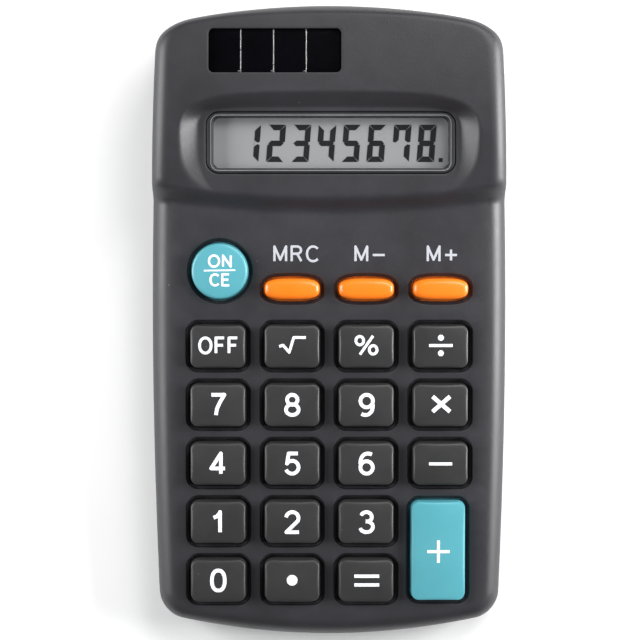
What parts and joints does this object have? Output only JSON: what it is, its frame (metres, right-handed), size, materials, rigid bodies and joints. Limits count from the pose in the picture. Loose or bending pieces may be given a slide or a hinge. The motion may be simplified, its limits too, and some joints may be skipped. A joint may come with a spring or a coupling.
{
  "type": "pocket calculator",
  "caption": "Pocket calculator with a thick arched head, scooped display basin, photovoltaic strip and a sloping keypad of sprung keys",
  "frame": {"origin": "middle of the flat back that the calculator rests on", "axes": "+Z out of the keypad face, away from the back; +Y from the keypad towards the display end; +X to the right as it is read"},
  "size_m": [0.065, 0.116, 0.018],
  "materials": {
    "case_plastic": "fine satin texture, charcoal",
    "back_plastic": "fine matt texture, charcoal",
    "black_key": "satin, near black",
    "teal_key": "satin, teal",
    "orange_key": "soft gloss, orange",
    "lens_plastic": "clear acrylic with a dark printed border",
    "lcd_glass": "grey liquid-crystal cell",
    "reflector_foil": "satin foil",
    "connector_rubber": "matt",
    "solar_glass": "black cells under glass",
    "board_laminate": "solder-masked laminate",
    "chip_resin": "black resin",
    "capacitor_can": "sleeved can",
    "mat_silicone": "matt translucent grey",
    "screw_steel": "zinc plated",
    "cell_sleeve": "printed sleeve over a steel can",
    "spring_steel": "nickel plated",
    "contact_steel": "nickel plated",
    "red_lead": "vinyl insulation",
    "black_lead": "vinyl insulation"
  },
  "bodies": {
    "body": {"front_case": "case_plastic", "rear_case": "back_plastic", "display_window": "lens_plastic", "lcd_glass": "lcd_glass", "lcd_reflector": "reflector_foil", "lcd_connector": "connector_rubber", "solar_cell": "solar_glass", "circuit_board": "board_laminate", "chip_cover": "chip_resin", "capacitor": "capacitor_can", "key_mat": "mat_silicone", "battery_cell": "cell_sleeve", "battery_spring": "spring_steel", "battery_contact_plus": "contact_steel", "battery_contact_minus": "contact_steel", "case_screw_1": "screw_steel", "case_screw_2": "screw_steel", "case_screw_3": "screw_steel", "case_screw_4": "screw_steel", "board_screw_1": "screw_steel", "board_screw_2": "screw_steel", "board_screw_3": "screw_steel", "board_screw_4": "screw_steel", "battery_wire_plus": "red_lead", "battery_wire_minus": "black_lead", "solar_wire_plus": "red_lead", "solar_wire_minus": "black_lead"},
    "off_key": {"key_off": "black_key"},
    "root_key": {"key_root": "black_key"},
    "percent_key": {"key_percent": "black_key"},
    "divide_key": {"key_divide": "black_key"},
    "7_key": {"key_7": "black_key"},
    "8_key": {"key_8": "black_key"},
    "9_key": {"key_9": "black_key"},
    "multiply_key": {"key_multiply": "black_key"},
    "4_key": {"key_4": "black_key"},
    "5_key": {"key_5": "black_key"},
    "6_key": {"key_6": "black_key"},
    "minus_key": {"key_minus": "black_key"},
    "1_key": {"key_1": "black_key"},
    "2_key": {"key_2": "black_key"},
    "3_key": {"key_3": "black_key"},
    "0_key": {"key_0": "black_key"},
    "point_key": {"key_point": "black_key"},
    "equals_key": {"key_equals": "black_key"},
    "mrc_key": {"key_mrc": "orange_key"},
    "memory_minus_key": {"key_memory_minus": "orange_key"},
    "memory_plus_key": {"key_memory_plus": "orange_key"},
    "on_ce_key": {"key_on_ce": "teal_key"},
    "plus_key": {"key_plus": "teal_key"},
    "battery_cover": {"battery_cover": "back_plastic"}
  },
  "joints": [
    {"name": "off_press", "type": "slide", "parent": "body", "child": "off_key", "axis": [0, 0.0414, -0.9991], "range_m": [0, 0.0011], "stiffness_N_per_m": 350, "springref_m": -0.0004, "deforming": ["key_mat"]},
    {"name": "root_press", "type": "slide", "parent": "body", "child": "root_key", "axis": [0, 0.0414, -0.9991], "range_m": [0, 0.0011], "stiffness_N_per_m": 350, "springref_m": -0.0004, "deforming": ["key_mat"]},
    {"name": "percent_press", "type": "slide", "parent": "body", "child": "percent_key", "axis": [0, 0.0414, -0.9991], "range_m": [0, 0.0011], "stiffness_N_per_m": 350, "springref_m": -0.0004, "deforming": ["key_mat"]},
    {"name": "divide_press", "type": "slide", "parent": "body", "child": "divide_key", "axis": [0, 0.0414, -0.9991], "range_m": [0, 0.0011], "stiffness_N_per_m": 350, "springref_m": -0.0004, "deforming": ["key_mat"]},
    {"name": "7_press", "type": "slide", "parent": "body", "child": "7_key", "axis": [0, 0.0414, -0.9991], "range_m": [0, 0.0011], "stiffness_N_per_m": 350, "springref_m": -0.0004, "deforming": ["key_mat"]},
    {"name": "8_press", "type": "slide", "parent": "body", "child": "8_key", "axis": [0, 0.0414, -0.9991], "range_m": [0, 0.0011], "stiffness_N_per_m": 350, "springref_m": -0.0004, "deforming": ["key_mat"]},
    {"name": "9_press", "type": "slide", "parent": "body", "child": "9_key", "axis": [0, 0.0414, -0.9991], "range_m": [0, 0.0011], "stiffness_N_per_m": 350, "springref_m": -0.0004, "deforming": ["key_mat"]},
    {"name": "multiply_press", "type": "slide", "parent": "body", "child": "multiply_key", "axis": [0, 0.0414, -0.9991], "range_m": [0, 0.0011], "stiffness_N_per_m": 350, "springref_m": -0.0004, "deforming": ["key_mat"]},
    {"name": "4_press", "type": "slide", "parent": "body", "child": "4_key", "axis": [0, 0.0414, -0.9991], "range_m": [0, 0.0011], "stiffness_N_per_m": 350, "springref_m": -0.0004, "deforming": ["key_mat"]},
    {"name": "5_press", "type": "slide", "parent": "body", "child": "5_key", "axis": [0, 0.0414, -0.9991], "range_m": [0, 0.0011], "stiffness_N_per_m": 350, "springref_m": -0.0004, "deforming": ["key_mat"]},
    {"name": "6_press", "type": "slide", "parent": "body", "child": "6_key", "axis": [0, 0.0414, -0.9991], "range_m": [0, 0.0011], "stiffness_N_per_m": 350, "springref_m": -0.0004, "deforming": ["key_mat"]},
    {"name": "minus_press", "type": "slide", "parent": "body", "child": "minus_key", "axis": [0, 0.0414, -0.9991], "range_m": [0, 0.0011], "stiffness_N_per_m": 350, "springref_m": -0.0004, "deforming": ["key_mat"]},
    {"name": "1_press", "type": "slide", "parent": "body", "child": "1_key", "axis": [0, 0.0414, -0.9991], "range_m": [0, 0.0011], "stiffness_N_per_m": 350, "springref_m": -0.0004, "deforming": ["key_mat"]},
    {"name": "2_press", "type": "slide", "parent": "body", "child": "2_key", "axis": [0, 0.0414, -0.9991], "range_m": [0, 0.0011], "stiffness_N_per_m": 350, "springref_m": -0.0004, "deforming": ["key_mat"]},
    {"name": "3_press", "type": "slide", "parent": "body", "child": "3_key", "axis": [0, 0.0414, -0.9991], "range_m": [0, 0.0011], "stiffness_N_per_m": 350, "springref_m": -0.0004, "deforming": ["key_mat"]},
    {"name": "0_press", "type": "slide", "parent": "body", "child": "0_key", "axis": [0, 0.0414, -0.9991], "range_m": [0, 0.0011], "stiffness_N_per_m": 350, "springref_m": -0.0004, "deforming": ["key_mat"]},
    {"name": "point_press", "type": "slide", "parent": "body", "child": "point_key", "axis": [0, 0.0414, -0.9991], "range_m": [0, 0.0011], "stiffness_N_per_m": 350, "springref_m": -0.0004, "deforming": ["key_mat"]},
    {"name": "equals_press", "type": "slide", "parent": "body", "child": "equals_key", "axis": [0, 0.0414, -0.9991], "range_m": [0, 0.0011], "stiffness_N_per_m": 350, "springref_m": -0.0004, "deforming": ["key_mat"]},
    {"name": "mrc_press", "type": "slide", "parent": "body", "child": "mrc_key", "axis": [0, 0.0414, -0.9991], "range_m": [0, 0.0011], "stiffness_N_per_m": 350, "springref_m": -0.0004, "deforming": ["key_mat"]},
    {"name": "memory_minus_press", "type": "slide", "parent": "body", "child": "memory_minus_key", "axis": [0, 0.0414, -0.9991], "range_m": [0, 0.0011], "stiffness_N_per_m": 350, "springref_m": -0.0004, "deforming": ["key_mat"]},
    {"name": "memory_plus_press", "type": "slide", "parent": "body", "child": "memory_plus_key", "axis": [0, 0.0414, -0.9991], "range_m": [0, 0.0011], "stiffness_N_per_m": 350, "springref_m": -0.0004, "deforming": ["key_mat"]},
    {"name": "on_ce_press", "type": "slide", "parent": "body", "child": "on_ce_key", "axis": [0, 0.0414, -0.9991], "range_m": [0, 0.0011], "stiffness_N_per_m": 350, "springref_m": -0.0004, "deforming": ["key_mat"]},
    {"name": "plus_press", "type": "slide", "parent": "body", "child": "plus_key", "axis": [0, 0.0414, -0.9991], "range_m": [0, 0.0011], "stiffness_N_per_m": 350, "springref_m": -0.0004, "deforming": ["key_mat"]},
    {"name": "battery_cover_slide", "type": "slide", "parent": "body", "child": "battery_cover", "axis": [0, 1, 0], "range_m": [0, 0.017]}
  ]
}
